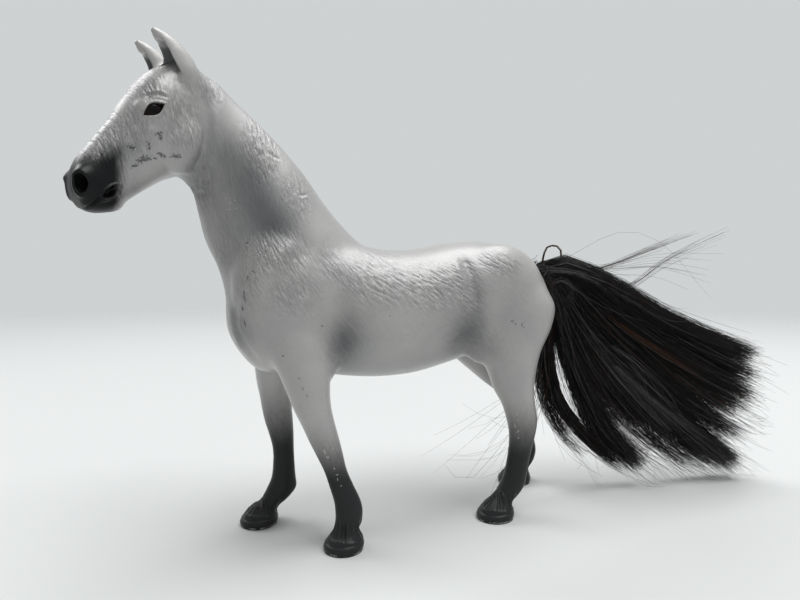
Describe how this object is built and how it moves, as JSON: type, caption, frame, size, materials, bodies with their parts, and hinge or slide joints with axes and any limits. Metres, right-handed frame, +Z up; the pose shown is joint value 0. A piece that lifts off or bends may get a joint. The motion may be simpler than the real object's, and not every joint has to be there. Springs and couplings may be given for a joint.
{
  "type": "toy farm animal figure",
  "caption": "Standing toy horse with a moulded, hollow plastic body, pegged legs and a fanned tail of loose black hair that swings and lifts.",
  "frame": {"origin": "on the ground, at the middle of the bounding box in X and Y", "axes": "the animal faces -X, its left side faces -Y, +Z is up"},
  "size_m": [0.319, 0.0596, 0.1921],
  "materials": {
    "body_grey": "satin, engraved with fine hair strokes",
    "leg_black": "satin grey, airbrushed to black towards the hoof",
    "plug_black": "matt",
    "binding_thread": "matt thread",
    "hair_black": "glossy synthetic hair"
  },
  "bodies": {
    "figure": {"left_body_shell": "body_grey", "right_body_shell": "body_grey", "front_left_leg": "leg_black", "front_right_leg": "leg_black", "hind_left_leg": "leg_black", "hind_right_leg": "leg_black", "tail_plug": "plug_black", "tail_binding": "binding_thread"},
    "tail_root": {"tail_root_hair": "hair_black"},
    "tail": {"tail_hair": "hair_black"}
  },
  "joints": [
    {"name": "tail_swing", "type": "hinge", "parent": "figure", "child": "tail_root", "pos_m": [0.03718, 0.00329, 0.10845], "axis": [0, 0, 1], "range_deg": [-12, 38], "stiffness_Nm_per_rad": 0.02},
    {"name": "tail_lift", "type": "hinge", "parent": "tail_root", "child": "tail", "pos_m": [0.03718, 0.00329, 0.10845], "axis": [-0.225, -0.9744, 0], "range_deg": [0, 55]}
  ]
}
